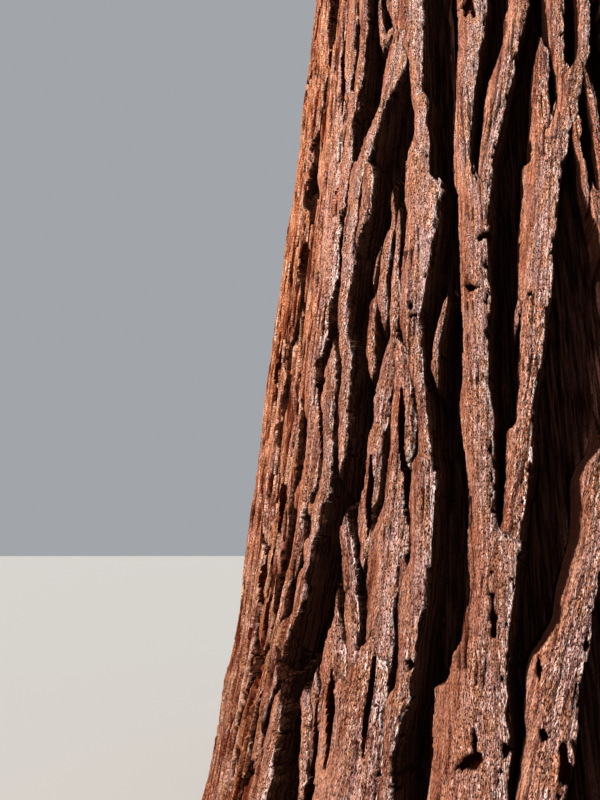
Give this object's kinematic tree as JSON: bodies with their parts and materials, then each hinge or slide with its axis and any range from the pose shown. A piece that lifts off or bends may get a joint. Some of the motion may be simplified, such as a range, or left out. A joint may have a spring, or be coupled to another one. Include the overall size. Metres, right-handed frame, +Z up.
{
  "type": "giant sequoia tree",
  "caption": "Mature giant sequoia: a buttressed, deeply furrowed, tapering trunk with a spiral of upturned boughs that carry rounded foliage masses.",
  "frame": {"origin": "centre of the flat cut at ground level under the trunk", "axes": "+Z up the trunk; the pictured side of the trunk faces -Y and -X"},
  "size_m": [9.9611, 9.9166, 40],
  "materials": {
    "bark": "thick, fibrous, deeply furrowed cinnamon-red bark, matte, paler on its weathered crests",
    "limb_bark": "thin scaly red-brown bark, matte",
    "foliage": "scale-leaved evergreen sprays, soft satin, blue-green to yellow-green"
  },
  "bodies": {
    "root": {"trunk": "bark", "bough_01": "limb_bark", "bough_02": "limb_bark", "bough_03": "limb_bark", "bough_04": "limb_bark", "bough_05": "limb_bark", "bough_06": "limb_bark", "bough_07": "limb_bark", "bough_08": "limb_bark", "bough_09": "limb_bark", "bough_10": "limb_bark", "bough_11": "limb_bark", "bough_12": "limb_bark", "bough_13": "limb_bark", "bough_14": "limb_bark", "bough_15": "limb_bark", "bough_16": "limb_bark", "bough_17": "limb_bark", "bough_18": "limb_bark", "bough_19": "limb_bark", "bough_20": "limb_bark", "bough_21": "limb_bark", "bough_22": "limb_bark", "foliage_01": "foliage", "foliage_02": "foliage", "foliage_03": "foliage", "foliage_04": "foliage", "foliage_05": "foliage", "foliage_06": "foliage", "foliage_07": "foliage", "foliage_08": "foliage", "foliage_09": "foliage", "foliage_10": "foliage", "foliage_11": "foliage", "foliage_12": "foliage", "foliage_13": "foliage", "foliage_14": "foliage", "foliage_15": "foliage", "foliage_16": "foliage", "foliage_17": "foliage", "foliage_18": "foliage", "foliage_19": "foliage", "foliage_20": "foliage", "foliage_21": "foliage", "foliage_22": "foliage", "foliage_23": "foliage", "foliage_24": "foliage", "foliage_25": "foliage", "foliage_26": "foliage", "foliage_27": "foliage", "foliage_28": "foliage", "foliage_top": "foliage"}
  },
  "joints": []
}
